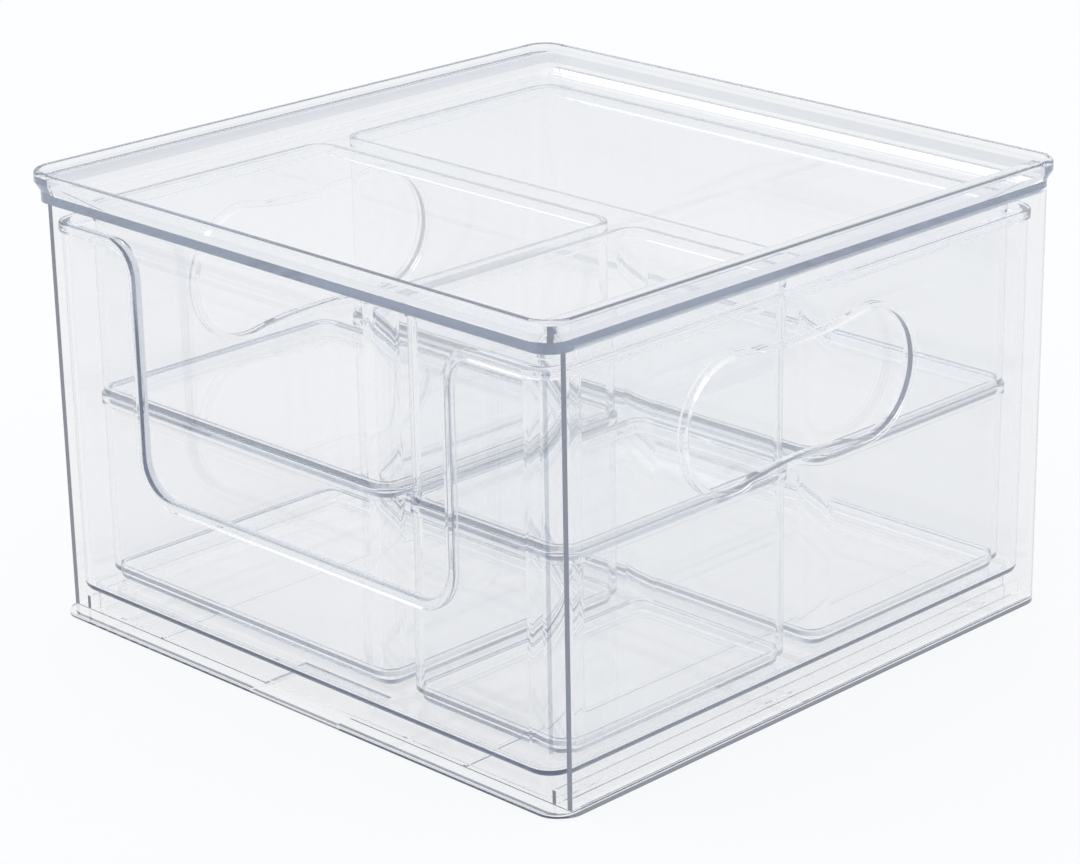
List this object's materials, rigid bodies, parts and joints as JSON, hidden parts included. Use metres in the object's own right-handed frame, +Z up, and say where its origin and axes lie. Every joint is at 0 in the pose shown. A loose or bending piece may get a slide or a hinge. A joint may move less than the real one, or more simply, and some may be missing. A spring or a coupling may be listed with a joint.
{
  "type": "stackable drawer box",
  "caption": "Clear stackable box with a pull-out scoop-front drawer, grip holes in its sides, and loose nesting bins in two layers.",
  "frame": {"origin": "middle of the underside of the base, at its footprint's centre", "axes": "+Z up; the drawer opens towards -Y; +X to the right when the drawer's front is faced"},
  "size_m": [0.376, 0.374, 0.2448],
  "materials": {
    "casing": "clear, polished",
    "drawer": "clear, polished",
    "bins": "clear, polished"
  },
  "bodies": {
    "casing": {"casing_base": "casing", "casing_shell": "casing", "casing_top": "casing", "guide_rail_left": "casing", "guide_rail_right": "casing"},
    "drawer": {"drawer_tray": "drawer"},
    "wide_bin_lower": {"bin_wide_lower": "bins"},
    "wide_bin_upper": {"bin_wide_upper": "bins"},
    "narrow_bin_lower": {"bin_narrow_lower": "bins"},
    "narrow_bin_upper": {"bin_narrow_upper": "bins"},
    "back_bin_lower": {"bin_back_lower": "bins"},
    "back_bin_upper": {"bin_back_upper": "bins"}
  },
  "joints": [
    {"name": "drawer_slide", "type": "slide", "parent": "casing", "child": "drawer", "axis": [0, -1, 0], "range_m": [0, 0.3]},
    {"name": "wide_bin_lower_lift", "type": "slide", "parent": "drawer", "child": "wide_bin_lower", "axis": [0, 0, 1], "range_m": [0, 0.0025]},
    {"name": "wide_bin_upper_lift", "type": "slide", "parent": "wide_bin_lower", "child": "wide_bin_upper", "axis": [0, 0, 1], "range_m": [0, 0.0025]},
    {"name": "narrow_bin_lower_lift", "type": "slide", "parent": "drawer", "child": "narrow_bin_lower", "axis": [0, 0, 1], "range_m": [0, 0.0025]},
    {"name": "narrow_bin_upper_lift", "type": "slide", "parent": "narrow_bin_lower", "child": "narrow_bin_upper", "axis": [0, 0, 1], "range_m": [0, 0.0025]},
    {"name": "back_bin_lower_lift", "type": "slide", "parent": "drawer", "child": "back_bin_lower", "axis": [0, 0, 1], "range_m": [0, 0.0025]},
    {"name": "back_bin_upper_lift", "type": "slide", "parent": "back_bin_lower", "child": "back_bin_upper", "axis": [0, 0, 1], "range_m": [0, 0.0025]}
  ]
}
